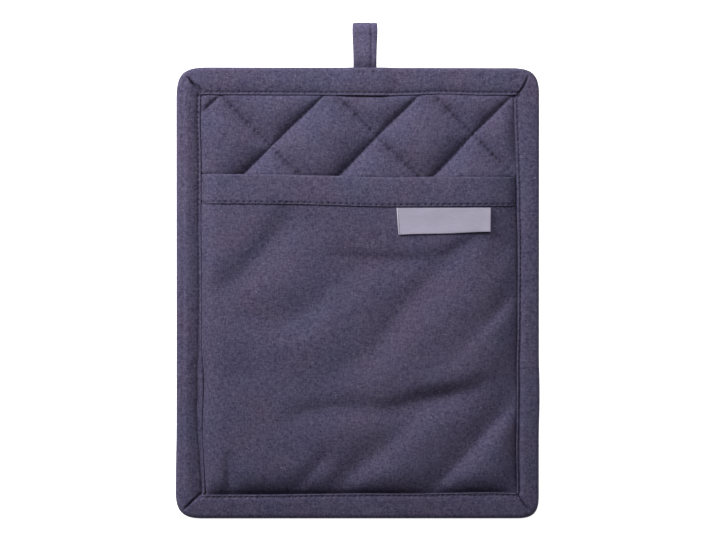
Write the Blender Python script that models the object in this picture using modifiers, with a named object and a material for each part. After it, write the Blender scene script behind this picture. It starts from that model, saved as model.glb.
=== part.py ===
# Quilted cotton pot holder, lying on its back: a filled pad, a hand pocket with a
# hemmed mouth, a mitred binding, a folded hanging loop and a small ribbon label.
# The origin is the middle of the pad's underside, +Y points to the loop and +Z up.

import math

import bmesh
import bpy
from mathutils import Matrix, Vector

MM = 0.001

# Layers
CLOTH = 1.0 * MM  # one layer of cotton, as folded and pressed
GAP = 0.3 * MM  # air between two pieces that lie on each other

# Outline and binding, corner by corner: top left, top right, bottom right, bottom left
OUTER_CORNERS = ((-99.9, 124.4), (100.1, 124.0), (99.9, -124.4), (-100.4, -124.5))
INNER_CORNERS = ((-85.9, 109.6), (87.7, 109.3), (87.7, -110.1), (-84.9, -111.0))
CORNER_RADIUS = 11 * MM  # outer corner
INNER_RADIUS = 0.8 * MM
BINDING_NOSE = 3.6 * MM  # how far in the rounded outer edge reaches
BINDING_TOP = 7.3 * MM
BINDING_EDGE_TOP = 6.3 * MM  # where the stitching holds the inner edge down
BINDING_ROUND = 0.4 * MM  # the folded inner edge
BINDING_SAG = 0.15 * MM  # the top dips a little halfway across
STITCH_INSET = 1.9 * MM
STITCH_DIP = 0.25 * MM
MITRE_DIP = 0.6 * MM
MITRE_HALF_ANGLE = 4  # degrees, seen from the middle of the corner's arc
STATION_STEP = 24 * MM  # spacing of the binding's sections along a straight side
STATION_CLEAR = 4 * MM  # none nearer than this to those at the loop

# Quilting: rising seams lie on x - y, falling seams on x + y
RISING_SEAMS = (-186.9, -131.4, -76.4, -24.6, 31.3, 86.0, 147.9)
FALLING_SEAMS = (-190.0, -134.0, -78.0, -22.0, 34.4, 95.5, 151.4)
OUTER_CELL = 67 * MM  # the outermost cells run off under the binding
CELL_SHARES = (0.0, 0.1, 0.27, 0.5, 0.73, 0.9)  # lattice lines across one cell
SEAM_TOP = 4.8 * MM  # top of the pad along a seam
CROWN = 8.7 * MM  # top of a puff
GROOVE_DEPTH = 1.2 * MM  # along the seams of the underside
GROOVE_SHARE = 2 * CELL_SHARES[1]  # half the groove's width, as a share of half a cell
BORDER_REACH = 12 * MM  # the pad rises from the binding over this distance
BORDER_ROW = 4.5 * MM
TUCK = 7.5 * MM  # how far the pad and the pocket go into the binding
TUCK_CORNER = 2 * MM  # their corners end this much earlier
SNAP = 0.35 * MM  # a lattice point this near to a row of points joins it

# Pocket: a line across the pad, y = height - fall * x
MOUTH_HEIGHT = 64.6 * MM
MOUTH_FALL = 0.0135
HEM_DEPTH = 16 * MM
HEM_STEP = 0.5 * MM  # the hem's folded edge comes down over this distance
HEM_NOSE = 0.7 * MM
DRAPE = 0.42  # share of the puffs' relief that still shows through the pocket
UNCOVERED = (9 * MM, 18 * MM)  # above the mouth, the pad's sides rise to the binding

# Main folds of the pocket: a trough between two points, in millimetres
FOLDS = (
    {"start": (-38, -63), "end": (-8, -58), "depth": 0.8, "half_width": 7},
    {"start": (-8, -58), "end": (22, -59), "depth": 1.3, "half_width": 7},
    {"start": (22, -59), "end": (60, -51), "depth": 1.5, "half_width": 8},
    {"start": (-16, 20), "end": (52, 23), "depth": 0.7, "half_width": 8},
)

# Hanging loop: a tape folded in half, its feet tacked behind the top binding
LOOP_X = 4.1 * MM
LOOP_WIDTH_TOP = 13.7 * MM
LOOP_WIDTH_FOOT = 12.7 * MM
LOOP_TAPE = 1.1 * MM
LOOP_END = 148.9 * MM
LOOP_FOOT = 113.5 * MM
LOOP_OPENING = 4.6 * MM
LOOP_NOSE = 5.2 * MM  # length of the rounded end, to the tape's middle
LOOP_RISE_START = 123.6 * MM
LOOP_RISE_END = 138.5 * MM
LOOP_NOSE_STEPS = 9
LOOP_RISE_STEPS = 6
BINDING_LIFT = 2 * LOOP_TAPE + 2 * GAP  # the binding's back is pressed up over the feet
BINDING_BULGE = 1.2 * MM
LIFT_HALF_WIDTH = 8 * MM
LIFT_RAMP = 10 * MM
LIFT_SPARE = 5 * MM  # the pad clears the binding's raised back and bulge by this

# Ribbon label below the hem: top left, top right, bottom right, bottom left
LABEL_CORNERS = ((21.4, 47.6), (73.9, 46.9), (73.9, 33.4), (22.4, 31.7))
LABEL_THICKNESS = 1.0 * MM
LABEL_SEAT = 0.45 * MM  # clear of the pocket's facets
LABEL_INSET = 1.5 * MM  # its top edge keeps the height found this far below the hem

COTTON = (0.080, 0.070, 0.115, 1.0)
RIBBON = (0.42, 0.40, 0.50, 1.0)
SMOOTH_ANGLE = 35  # degrees


def millimetres(pairs):
    return [Vector((x * MM, y * MM)) for x, y in pairs]


INNER = millimetres(INNER_CORNERS)
OUTER = millimetres(OUTER_CORNERS)


def all_seams(offsets):
    """Seam positions, with one more beyond the outline at either end."""
    seams = [offset * MM for offset in offsets]
    return [seams[0] - OUTER_CELL, *seams, seams[-1] + OUTER_CELL]


RISING = all_seams(RISING_SEAMS)
FALLING = all_seams(FALLING_SEAMS)


# ---- shape of the layers ----


def side_distances(x, y):
    """How far a point lies inside each inner edge of the binding."""
    distances = []
    for start, end in zip(INNER, INNER[1:] + INNER[:1]):
        along = (end - start).normalized()
        inward = Vector((along.y, -along.x))
        distances.append((Vector((x, y)) - start).dot(inward))
    return distances


def ramp(value, low, high):
    return min(max((value - low) / (high - low), 0.0), 1.0)


def pillow(distance, reach):
    """Rounded rise from 0 at an edge to 1 at the reach."""
    return math.sin(ramp(distance, 0, reach) * math.pi / 2)


def across_cell(value, seams):
    """0 on a seam and 1 halfway to the next."""
    for low, high in zip(seams, seams[1:]):
        if low <= value <= high:
            share = (value - low) / (high - low)
            return 2 * min(share, 1 - share)
    return 0.0


def mouth(x):
    return MOUTH_HEIGHT - MOUTH_FALL * x


def hem_edge(x):
    return mouth(x) - HEM_DEPTH


def fold_dip(x, y):
    """Depth of the pocket's folds at a point."""
    dip = 0.0
    for fold in FOLDS:
        start, end = millimetres((fold["start"], fold["end"]))
        along = end - start
        share = ramp((Vector((x, y)) - start).dot(along) / along.length_squared, 0, 1)
        away = (Vector((x, y)) - start - along * share).length
        width = fold["half_width"] * MM
        dip = max(dip, fold["depth"] * MM * math.exp(-((away / width) ** 2)))
    return dip


def puff(x, y):
    """Relief of the quilting: 0 on a seam and 1 in the middle of a diamond."""
    rising = pillow(across_cell(x - y, RISING), 1)
    falling = pillow(across_cell(x + y, FALLING), 1)
    return rising * falling


def loop_lift(x, margin=0.0):
    """1 over the loop's feet, falling to 0 beside them; a margin widens it."""
    beside = abs(x - LOOP_X) - LIFT_HALF_WIDTH - margin
    return 1 - ramp(beside, 0, LIFT_RAMP)


def pad_top(x, y):
    inside = min(side_distances(x, y))
    covered = 1 - ramp(y - mouth(x), *UNCOVERED)
    near_top = ramp(y - INNER[0].y + BORDER_REACH, 0, BORDER_REACH)
    bulge = BINDING_BULGE * loop_lift(x, -LIFT_SPARE) * near_top
    border = BINDING_EDGE_TOP - CLOTH - GAP + bulge - covered * (2 * CLOTH + GAP)
    middle = SEAM_TOP + (CROWN - SEAM_TOP) * puff(x, y) - fold_dip(x, y)
    return border + (middle - border) * pillow(inside, BORDER_REACH)


def pad_bottom(x, y):
    """Flat where it rests, grooved along the seams, drawn up into the binding."""
    inside = min(side_distances(x, y))
    rising = ramp(across_cell(x - y, RISING), 0, GROOVE_SHARE)
    falling = ramp(across_cell(x + y, FALLING), 0, GROOVE_SHARE)
    groove = GROOVE_DEPTH * (1 - rising * falling)
    near_top = ramp(y - INNER[0].y + BORDER_REACH, 0, BORDER_REACH)
    lift = BINDING_LIFT * loop_lift(x, LIFT_SPARE) * near_top
    border = CLOTH + GAP + lift
    return border + (groove - border) * ramp(inside, 0, BORDER_REACH)


def pocket_bottom(x, y):
    """The pocket hangs a little over the seams of the pad under it."""
    inside = min(side_distances(x, y))
    hem = 1 if y > hem_edge(x) - GAP else 0
    border = BINDING_EDGE_TOP - CLOTH - GAP - CLOTH * (1 + hem)
    relief = 1 - DRAPE * (1 - puff(x, y))
    middle = SEAM_TOP + (CROWN - SEAM_TOP) * relief - fold_dip(x, y)
    return border + (middle + GAP - border) * pillow(inside, BORDER_REACH)


def pocket_top(x, y):
    """One layer of cloth, two in the hem, which ends in a folded edge at the mouth."""
    in_hem = ramp(y, hem_edge(x), hem_edge(x) + HEM_STEP)
    nose = CLOTH * 0.5 * ramp(y, mouth(x) - HEM_NOSE, mouth(x))
    return pocket_bottom(x, y) + CLOTH * (1 + in_hem) - nose


# ---- building ----


def clear_scene():
    for obj in list(bpy.data.objects):
        bpy.data.objects.remove(obj)


def cloth_material(name, colour, roughness):
    material = bpy.data.materials.new(name)
    material.use_nodes = True
    shader = material.node_tree.nodes["Principled BSDF"]
    shader.inputs["Base Color"].default_value = colour
    shader.inputs["Roughness"].default_value = roughness
    shader.inputs["Metallic"].default_value = 0.0
    material.diffuse_color = colour
    return material


def add_object(name, bm, material, collection):
    mesh = bpy.data.meshes.new(name)
    bm.to_mesh(mesh)
    bm.free()
    mesh.materials.append(material)
    mesh.shade_smooth()
    mesh.set_sharp_from_angle(angle=math.radians(SMOOTH_ANGLE))
    obj = bpy.data.objects.new(name, mesh)
    collection.objects.link(obj)
    return obj


def lattice_lines(seams):
    lines = [a + (b - a) * share for a, b in zip(seams, seams[1:]) for share in CELL_SHARES]
    return lines + [seams[-1]]


def cut(bm, point, normal, trim):
    """Adds a row of points along a line, and removes what lies beyond it if asked."""
    bmesh.ops.bisect_plane(
        bm,
        geom=bm.verts[:] + bm.edges[:] + bm.faces[:],
        dist=SNAP,
        plane_co=(point.x, point.y, 0),
        plane_no=(normal.x, normal.y, 0),
        use_snap_center=True,
        clear_outer=trim,
    )


def round_corners(bm):
    """Pulls the corner points in, clear of the binding's rounded corners."""
    for corner in INNER:
        away = corner.normalized() * TUCK_CORNER
        limit = TUCK - SNAP
        for vert in bm.verts:
            offset = Vector((vert.co.x, vert.co.y)) - corner
            outside = offset.x * corner.x > 0 and offset.y * corner.y > 0
            if outside and abs(offset.x) > limit and abs(offset.y) > limit:
                vert.co.x -= away.x
                vert.co.y -= away.y


def quilted_sheet():
    """Flat lattice whose lines follow the seams, trimmed inside the binding."""
    rising, falling = lattice_lines(RISING), lattice_lines(FALLING)
    bm = bmesh.new()
    bmesh.ops.create_grid(
        bm, x_segments=len(rising) - 1, y_segments=len(falling) - 1, size=0.5
    )
    for vert in bm.verts:
        p = rising[round((vert.co.x + 0.5) * (len(rising) - 1))]
        q = falling[round((vert.co.y + 0.5) * (len(falling) - 1))]
        vert.co = ((p + q) / 2, (q - p) / 2, 0)
    for start, end in zip(INNER, INNER[1:] + INNER[:1]):
        along = (end - start).normalized()
        outward = Vector((-along.y, along.x))
        cut(bm, start + outward * TUCK, outward, trim=True)
        cut(bm, start, outward, trim=False)
        cut(bm, start - outward * BORDER_ROW, outward, trim=False)
    round_corners(bm)
    bmesh.ops.triangulate(bm, faces=bm.faces)
    return bm


def filled(bm, top, bottom):
    """Closes a flat sheet into a solid between two height functions."""
    lower = bmesh.ops.duplicate(bm, geom=bm.verts[:] + bm.edges[:] + bm.faces[:])["geom"]
    lower_verts = {item for item in lower if isinstance(item, bmesh.types.BMVert)}
    rims = [edge for edge in bm.edges if edge.is_boundary]
    for vert in bm.verts:
        height = bottom if vert in lower_verts else top
        vert.co.z = height(vert.co.x, vert.co.y)
    bmesh.ops.bridge_loops(bm, edges=rims)
    bmesh.ops.recalc_face_normals(bm, faces=bm.faces)
    return bm


def make_pad(collection, material):
    solid = filled(quilted_sheet(), pad_top, pad_bottom)
    return add_object("quilted_pad", solid, material, collection)


def make_pocket(collection, material):
    """The pad's own lattice below the mouth, so that the two lie evenly apart."""
    bm = quilted_sheet()
    rows = {0: True, -HEM_NOSE: False, HEM_STEP - HEM_DEPTH: False, -HEM_DEPTH: False}
    for row, trim in rows.items():
        cut(bm, Vector((0, MOUTH_HEIGHT + row)), Vector((MOUTH_FALL, 1)), trim)
    solid = filled(bm, pocket_top, pocket_bottom)
    return add_object("pocket", solid, material, collection)


def binding_section(reach, lift, dip):
    """Closed C-shaped section as (distance out from the inner edge, height)."""
    low = BINDING_LIFT * lift
    high = BINDING_TOP + BINDING_BULGE * lift
    edge = BINDING_EDGE_TOP + BINDING_BULGE * lift
    start = reach - BINDING_NOSE
    middle, half = (low + high) / 2, (high - low) / 2
    turn = math.sqrt(0.5)
    return [
        (0, edge - CLOTH),
        (0, edge - BINDING_ROUND),
        (BINDING_ROUND, edge),
        (STITCH_INSET, edge - STITCH_DIP - dip / 2),
        ((STITCH_INSET + start) / 2, high - BINDING_SAG - dip),
        (start, high - dip / 2),
        (start + BINDING_NOSE * turn, middle + half * turn),
        (reach, middle),
        (start + BINDING_NOSE * turn, middle - half * turn),
        (start, low),
        (BINDING_ROUND, low),
        (0, low + BINDING_ROUND),
        (0, low + CLOTH),
        (start, low + CLOTH),
        (reach - CLOTH, middle),
        (start, high - CLOTH - BINDING_SAG - dip / 3),
    ]


def corner_stations(index):
    """(inner point, outer point, mitre dip) round one corner, clockwise from above."""
    inner, outer = INNER[index], OUTER[index]
    toward = Vector((math.copysign(1, outer.x), math.copysign(1, outer.y)))
    arc_centre = outer - toward * CORNER_RADIUS
    small_centre = inner - toward * INNER_RADIUS
    angles = (0, 22.5, 45 - MITRE_HALF_ANGLE, 45, 45 + MITRE_HALF_ANGLE, 67.5, 90)
    clockwise_start = {(-1, 1): 180, (1, 1): 90, (1, -1): 0, (-1, -1): -90}
    first = clockwise_start[(int(toward.x), int(toward.y))]
    stations = []
    for angle in angles:
        turn = math.radians(first - angle)
        out = Vector((math.cos(turn), math.sin(turn)))
        dip = MITRE_DIP if angle == 45 else 0.0
        stations.append((small_centre + out * INNER_RADIUS, arc_centre + out * CORNER_RADIUS, dip))
    return stations


def side_stations(index):
    """Sections square to one straight side, closer together over the loop's feet."""
    inner_start, inner_end = INNER[index], INNER[(index + 1) % 4]
    outer_start, outer_end = OUTER[index], OUTER[(index + 1) % 4]
    length = (inner_end - inner_start).length
    count = round(length / STATION_STEP)
    shares = [(k + 0.5) / count for k in range(count)]
    if index == 0:
        foot, beside = LIFT_HALF_WIDTH, LIFT_HALF_WIDTH + LIFT_RAMP
        bends = [LOOP_X + offset - inner_start.x for offset in (-beside, -foot, foot, beside)]
        low, high = bends[0] - STATION_CLEAR, bends[-1] + STATION_CLEAR
        clear = [share for share in shares if not low < share * length < high]
        shares = sorted(clear + [bend / length for bend in bends])
    stations = []
    for share in shares:
        inner = inner_start.lerp(inner_end, share)
        across = 0 if index % 2 else 1  # the axis that the side crosses
        outer = inner.copy()
        at = (inner[1 - across] - outer_start[1 - across]) / (outer_end - outer_start)[1 - across]
        outer[across] = outer_start.lerp(outer_end, at)[across]
        stations.append((inner, outer, 0.0))
    return stations


def make_binding(collection, material):
    stations = [s for k in range(4) for s in corner_stations(k) + side_stations(k)]
    bm = bmesh.new()
    rings = []
    for inner, outer, dip in stations:
        out = (outer - inner).normalized()
        lift = loop_lift(inner.x) if inner.y > 0 else 0.0
        section = binding_section((outer - inner).length, lift, dip)
        rings.append([bm.verts.new((*(inner + out * far), high)) for far, high in section])
    for ring, following in zip(rings, rings[1:] + rings[:1]):
        for k in range(len(ring)):
            bm.faces.new((ring[k - 1], ring[k], following[k], following[k - 1]))
    bmesh.ops.recalc_face_normals(bm, faces=bm.faces)
    return add_object("binding", bm, material, collection)


def loop_path():
    """Middle line of the tape from its lower foot round the fold to its upper foot."""
    low = LOOP_TAPE / 2
    foot = low + LOOP_TAPE + GAP
    high = low + LOOP_TAPE + LOOP_OPENING
    nose_centre = LOOP_END - LOOP_TAPE / 2 - LOOP_NOSE
    path = [(LOOP_FOOT, low), (LOOP_RISE_START, low), ((LOOP_RISE_START + nose_centre) / 2, low)]
    for step in range(LOOP_NOSE_STEPS + 1):
        turn = math.pi * (step / LOOP_NOSE_STEPS - 0.5)
        y = nose_centre + LOOP_NOSE * math.cos(turn)
        path.append((y, (low + high) / 2 + (high - low) / 2 * math.sin(turn)))
    for step in range(LOOP_RISE_STEPS + 1):
        share = step / LOOP_RISE_STEPS
        y = LOOP_RISE_END + (LOOP_RISE_START - LOOP_RISE_END) * share
        path.append((y, high + (foot - high) * (1 - math.cos(math.pi * share)) / 2))
    path.append((LOOP_FOOT, foot))
    return path


def make_loop(collection, material):
    path = loop_path()
    bm = bmesh.new()
    rows = []
    for y, z in path:
        share = ramp(y, LOOP_RISE_START, LOOP_END)
        half = (LOOP_WIDTH_FOOT + (LOOP_WIDTH_TOP - LOOP_WIDTH_FOOT) * share) / 2
        rows.append([bm.verts.new((LOOP_X + side * half, y, z)) for side in (-1, 1)])
    for row, following in zip(rows, rows[1:]):
        bm.faces.new((row[0], row[1], following[1], following[0]))
    loop = add_object("hanging_loop", bm, material, collection)
    thicken = loop.modifiers.new("tape", "SOLIDIFY")
    thicken.thickness = LOOP_TAPE
    thicken.offset = 0
    thicken.use_even_offset = True
    return loop


def make_label(collection, material):
    top_left, top_right, bottom_right, bottom_left = millimetres(LABEL_CORNERS)
    bm = bmesh.new()
    bmesh.ops.create_grid(bm, x_segments=8, y_segments=3, size=0.5)
    for vert in bm.verts:
        across, down = vert.co.x + 0.5, 0.5 - vert.co.y
        spot = top_left.lerp(top_right, across).lerp(bottom_left.lerp(bottom_right, across), down)
        vert.co = (spot.x, spot.y, 0)

    def underneath(x, y):
        return pocket_top(x, min(y, hem_edge(x) - LABEL_INSET)) + LABEL_SEAT

    def upper(x, y):
        return underneath(x, y) + LABEL_THICKNESS

    return add_object("label", filled(bm, upper, underneath), material, collection)


def main():
    clear_scene()
    collection = bpy.data.collections.new("pot_holder")
    bpy.context.scene.collection.children.link(collection)
    cotton = cloth_material("cotton", COTTON, 0.9)
    ribbon = cloth_material("ribbon", RIBBON, 0.55)
    make_pad(collection, cotton)
    make_pocket(collection, cotton)
    make_binding(collection, cotton)
    make_loop(collection, cotton)
    make_label(collection, ribbon)


main()
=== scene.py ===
import math

import bpy
import numpy as np
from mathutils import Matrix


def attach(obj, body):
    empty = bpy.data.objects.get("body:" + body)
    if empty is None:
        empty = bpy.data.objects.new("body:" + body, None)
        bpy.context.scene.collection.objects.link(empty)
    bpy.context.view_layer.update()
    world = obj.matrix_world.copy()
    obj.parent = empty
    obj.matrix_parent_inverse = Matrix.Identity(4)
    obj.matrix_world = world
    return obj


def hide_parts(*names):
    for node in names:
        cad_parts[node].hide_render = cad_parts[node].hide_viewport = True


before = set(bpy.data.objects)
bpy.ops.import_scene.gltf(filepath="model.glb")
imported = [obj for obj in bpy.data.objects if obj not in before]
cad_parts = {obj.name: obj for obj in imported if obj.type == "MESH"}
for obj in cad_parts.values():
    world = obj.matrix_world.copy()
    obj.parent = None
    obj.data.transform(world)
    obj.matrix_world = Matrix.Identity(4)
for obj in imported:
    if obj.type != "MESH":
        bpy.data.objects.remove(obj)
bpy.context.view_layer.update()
scene = bpy.context.scene
mm = 0.001
print("frame loaded:", sorted(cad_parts))

# Millimetres from here on: x to the right, y to the loop, z up. Outline and heights follow the part.
layout = {
    # corners from the top left, clockwise
    "outer": ((-99.9, 124.4), (100.2, 124.0), (100.0, -124.35), (-100.3, -124.4)),
    "inner": ((-85.9, 109.4), (87.7, 109.2), (87.7, -110.1), (-84.9, -111.0)),
    # each outer corner: how far it reaches along the sides, and how squarely it turns
    "corners": ((17.5, 0.80), (15.0, 0.75), (12.0, 0.73), (15.0, 0.75)),
    "innerRadius": 0.8,
    # how far the binding's inner edge strays outward, by place along the side
    "strayLeft": (
        (-111, -1.0), (-100, -0.8), (-90, -0.4), (-78, 0.25), (-68, 0.3), (-58, -0.25), (-45, -0.4),
        (-32, 0.45), (-5, 0.3), (15, 0.3), (40, 0.4), (80, 0.3), (95, 0.9), (109, 0.3),
    ),
    "strayRight": (
        (-103, 0.1), (-87, -0.3), (-70, 0.0), (-54, 0.2), (-37, -0.1), (-27, 0.4), (12, 0.6),
        (32, 0.5), (44, 0.0), (60, 0.0), (70, -0.5), (80, -0.6), (90, -1.1), (105, -1.5),
    ),
    "strayTop": (
        (-86, -0.3), (-70, -0.45), (-45, -0.5), (-20, -0.6), (15, -0.9),
        (30, -0.6), (41, 0.1), (52, 0.1), (64, -0.5), (88, -0.5),
    ),
    "strayBottom": (
        (-85, 0.0), (-50, 0.2), (0, -0.2), (30, 0.1), (45, -0.1), (65, -0.4), (76, -0.4), (88, 0.1),
    ),
    # how far its outer edge moves to the right along the left and right sides
    "drawnLeft": ((-124, 0.0), (-95, 0.1), (-80, 0.4), (-60, 0.4), (5, 0.25), (100, 0.0)),
    "drawnRight": ((-124, 0.0), (-75, 0.0), (-63, 0.4), (-50, 0.4), (-38, 0.0), (124, 0.0)),
    # quilting seams: x - y along each rising one, then x + y along each falling one
    "seams": (
        (-253.9, -185.4, -127.7, -75.6, -23.7, 31.3, 86.0, 147.9, 214.9),
        (-257.0, -190.0, -134.0, -78.0, -22.0, 33.2, 96.9, 150.4, 217.4),
    ),
    "loopMiddle": 4.1,
}


# Soft random hills between -1 and 1, about one every `size` millimetres
def hills(x, y, size, seed):
    cells = 127
    table = np.random.default_rng(seed).uniform(-1, 1, (cells + 1, cells + 1))
    # turned and shifted, so that nothing in it lines up with the cloth's edges
    placed = (x * 0.8 - y * 0.6) / size + 40.3, (x * 0.6 + y * 0.8) / size + 60.7
    low = [np.floor(t).astype(int) for t in placed]
    part = [t - i for t, i in zip(placed, low)]
    ease = [t * t * t * (t * (t * 6 - 15) + 10) for t in part]
    i, j = [k % cells for k in low]
    near = table[i, j] * (1 - ease[0]) + table[i + 1, j] * ease[0]
    far = table[i, j + 1] * (1 - ease[0]) + table[i + 1, j + 1] * ease[0]
    return near * (1 - ease[1]) + far * ease[1]


def clamp01(value):
    return np.clip(value, 0.0, 1.0)


def smoothStep(value, low, high):
    t = clamp01((value - low) / (high - low))
    return t * t * (3 - 2 * t)


# 1 at zero, falling off on both sides
def bell(value, width):
    return np.exp(-((value / width) ** 2))


# 1 at the edge and outside it, falling off inwards
def fade(distance, reach):
    return np.exp(-np.maximum(distance, 0) / reach)


# Reads a short table of (place, value) rows, rounded off at its corners
def fromTable(rows, at, soften=6.0):
    places, values = zip(*rows)
    shifts = np.linspace(-soften, soften, 7)
    return sum(np.interp(at + shift, places, values) for shift in shifts) / len(shifts)


# Distances in from the binding's inner edge: top, right, bottom, left
def insideDistances(x, y):
    (ax, ay), (bx, by), (cx, cy), (dx, dy) = layout["inner"]
    top = ay + (by - ay) * (x - ax) / (bx - ax) + fromTable(layout["strayTop"], x)
    right = bx + (cx - bx) * (y - by) / (cy - by) + fromTable(layout["strayRight"], y)
    bottom = dy + (cy - dy) * (x - dx) / (cx - dx) - fromTable(layout["strayBottom"], x)
    left = dx + (ax - dx) * (y - dy) / (ay - dy) - fromTable(layout["strayLeft"], y)
    return top - y, right - x, y - bottom, x - left


# The places of a rising list just below and above each value
def neighbours(value, places):
    places = np.asarray(places)
    k = np.clip(np.searchsorted(places, value) - 1, 0, len(places) - 2)
    return places[k], places[k + 1]


# 0 on a seam and 1 halfway to the next one
def acrossCell(value, seams):
    below, above = neighbours(value, seams)
    share = (value - below) / (above - below)
    return 2 * clamp01(np.minimum(share, 1 - share))


# Distance from the nearest seam of a set
def fromSeam(value, seams):
    below, above = neighbours(value, seams)
    return np.minimum(np.abs(value - below), np.abs(above - value)) / math.sqrt(2)


# A smooth line through a few points
def curveThrough(points, steps):
    p = [np.array(q, float) for q in points]
    p = [2 * p[0] - p[1], *p, 2 * p[-1] - p[-2]]
    line = []
    for a, b, c, d in zip(p, p[1:], p[2:], p[3:]):
        bend, twist = 2 * a - 5 * b + 4 * c - d, 3 * b - a - 3 * c + d
        for t in np.linspace(0, 1, steps, endpoint=False):
            line.append(0.5 * (2 * b + (c - a) * t + bend * t**2 + twist * t**3))
    return np.array(line + [p[-2]])


# One soft fold: its widths above and below a line that runs from right to left, how squarely its bottom
# is rounded, then the line's (x, y, depth) rows
def foldDepth(x, y, fold, blend=1.5):
    upper, lower, squareness, *rows = fold
    line = curveThrough(rows, 4)
    best = np.full(np.shape(x), 1e9)
    signed, depth = np.zeros(np.shape(x)), np.zeros(np.shape(x))
    for a, b in zip(line, line[1:]):
        run = b[:2] - a[:2]
        length2 = max(run @ run, 1e-9)
        t = clamp01(((x - a[0]) * run[0] + (y - a[1]) * run[1]) / length2)
        offX, offY = x - a[0] - run[0] * t, y - a[1] - run[1] * t
        away = np.hypot(offX, offY)
        closer = away < best
        best = np.where(closer, away, best)
        signed = np.where(closer, away * np.sign(run[0] * offY - run[1] * offX + 1e-9), signed)
        depth = np.where(closer, a[2] + (b[2] - a[2]) * t, depth)
    width = upper + (lower - upper) * smoothStep(signed, -blend, blend)
    return depth * np.exp(-((np.abs(signed) / width) ** squareness))


def makeObject(name, vertices, faces, material):
    mesh = bpy.data.meshes.new(name)
    mesh.from_pydata([tuple(v) for v in np.asarray(vertices) * mm], [], [tuple(f) for f in faces])
    mesh.materials.append(material)
    mesh.shade_smooth()
    mesh.update()
    obj = bpy.data.objects.new(name, mesh)
    scene.collection.objects.link(obj)
    return obj


# Outer loop of a grid of points, with each point's place along it: four sides, 0 to 4
def gridRim(rows, columns):
    index = np.arange(rows * columns).reshape(rows, columns)
    rim = np.concatenate([index[0, :-1], index[:-1, -1], index[-1, :0:-1], index[:0:-1, 0]])
    along = [side + k / count for side, count in enumerate((columns - 1, rows - 1) * 2) for k in range(count)]
    return list(rim) + [rim[0]], along + [4.0]


def gridFaces(rows, columns):
    index = np.arange(rows * columns).reshape(rows, columns)
    return np.stack([index[:-1, :-1], index[1:, :-1], index[1:, 1:], index[:-1, 1:]], -1).reshape(-1, 4)


# Faces of a tube, from rings of points one after another
def tubeFaces(count, size, closed=False):
    index = np.arange(count * size).reshape(count, size)
    if closed:
        index = np.concatenate([index, index[:1]])
    beside = np.roll(index, -1, axis=1)
    return np.stack([index[1:], beside[1:], beside[:-1], index[:-1]], -1).reshape(-1, 4)


# A closed cloth: an upper and a lower grid of points (x, y, z), rows from the loop down, sewn round the rim
def closedSheet(name, upper, lower, material):
    upper, lower = [np.stack(np.broadcast_arrays(*grid), -1) for grid in (upper, lower)]
    upSize, lowSize = upper.shape[:2], lower.shape[:2]
    under = upSize[0] * upSize[1]
    faces = list(gridFaces(*upSize)) + list(gridFaces(*lowSize)[:, ::-1] + under)
    (upRim, upAlong), (lowRim, lowAlong) = gridRim(*upSize), gridRim(*lowSize)
    lowRim = [k + under for k in lowRim]
    i = j = 0
    while i < len(upRim) - 1 or j < len(lowRim) - 1:
        if j == len(lowRim) - 1 or (i < len(upRim) - 1 and upAlong[i + 1] <= lowAlong[j + 1]):
            faces.append((upRim[i], upRim[i + 1], lowRim[j]))
            i += 1
        else:
            faces.append((lowRim[j + 1], lowRim[j], upRim[i]))
            j += 1
    return makeObject(name, np.concatenate([upper.reshape(-1, 3), lower.reshape(-1, 3)]), faces, material)


# How far along a line of points each of them lies
def placesAlong(points):
    return np.concatenate([[0], np.cumsum(np.hypot(*np.diff(points, axis=0).T))])


# Where the needle went through along a seam of a given length
def needleHoles(length, look, number=0):
    count = max(int(round(length / look["pitch"])), 1)
    holes = np.linspace(0, length, count + 1)
    rng = np.random.default_rng(look["seed"] + number)
    holes[1:-1] += rng.uniform(-1, 1, count - 1) * look["uneven"]
    return holes


# 1 at a needle hole, falling to 0 beside it
def dimples(place, holes, width):
    below, above = neighbours(place, holes)
    return bell(np.minimum(np.abs(place - below), np.abs(above - place)), width)


# Thread: a row of short raised stitches along a line of (x, y, z) points, their ends diving into the cloth
def stitches(line, normals, look, number):
    place = placesAlong(line[:, :2])
    holes = needleHoles(place[-1], look, number)
    rng = np.random.default_rng(look["seed"] + number + 1000)
    vertices, faces = [], []
    sides = 6
    angles = 2 * math.pi * np.arange(sides)[:, None] / sides
    # places along one stitch, and its share of the way between two holes
    spans = np.array([-1.0, -0.8, -0.35, 0.35, 0.8, 1.0])
    filled = 0.92
    for begin, end in zip(holes, holes[1:]):
        middle, half = (begin + end) / 2, (end - begin) / 2 * filled
        slant = rng.uniform(-1, 1) * look["slant"]
        at = np.clip(middle + spans * half, 0, place[-1])
        points = np.stack([np.interp(at, place, line[:, c]) for c in range(3)], -1)
        up = np.stack([np.interp(at, place, normals[:, c]) for c in range(3)], -1)
        along = points[-1] - points[0]
        along /= max(np.linalg.norm(along), 1e-6)
        across = np.cross(up, along)
        across /= np.linalg.norm(across, axis=1, keepdims=True)
        lift = look["lift"] - look["dive"] * np.abs(spans) ** 3
        points = points + up * lift[:, None] + across * (spans * slant)[:, None]
        first = len(vertices)
        radius = look["radius"] * np.sqrt(np.maximum(1 - spans ** 6, 0.15))
        rings = np.cos(angles) * across[:, None] + np.sin(angles) * up[:, None]
        vertices += list((points[:, None] + radius[:, None, None] * rings).reshape(-1, 3))
        faces += list(tubeFaces(len(spans), sides)[:, ::-1] + first)
        last = first + (len(spans) - 1) * sides
        faces += [range(first, first + sides)[::-1], range(last, last + sides)]
    return vertices, faces


def stitchObject(name, runs, look):
    vertices, faces = [], []
    for number, (line, normals) in enumerate(runs):
        v, f = stitches(line, normals, look, number)
        faces += [tuple(i + len(vertices) for i in face) for face in f]
        vertices += v
    return makeObject(name, vertices, faces, thread)


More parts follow.
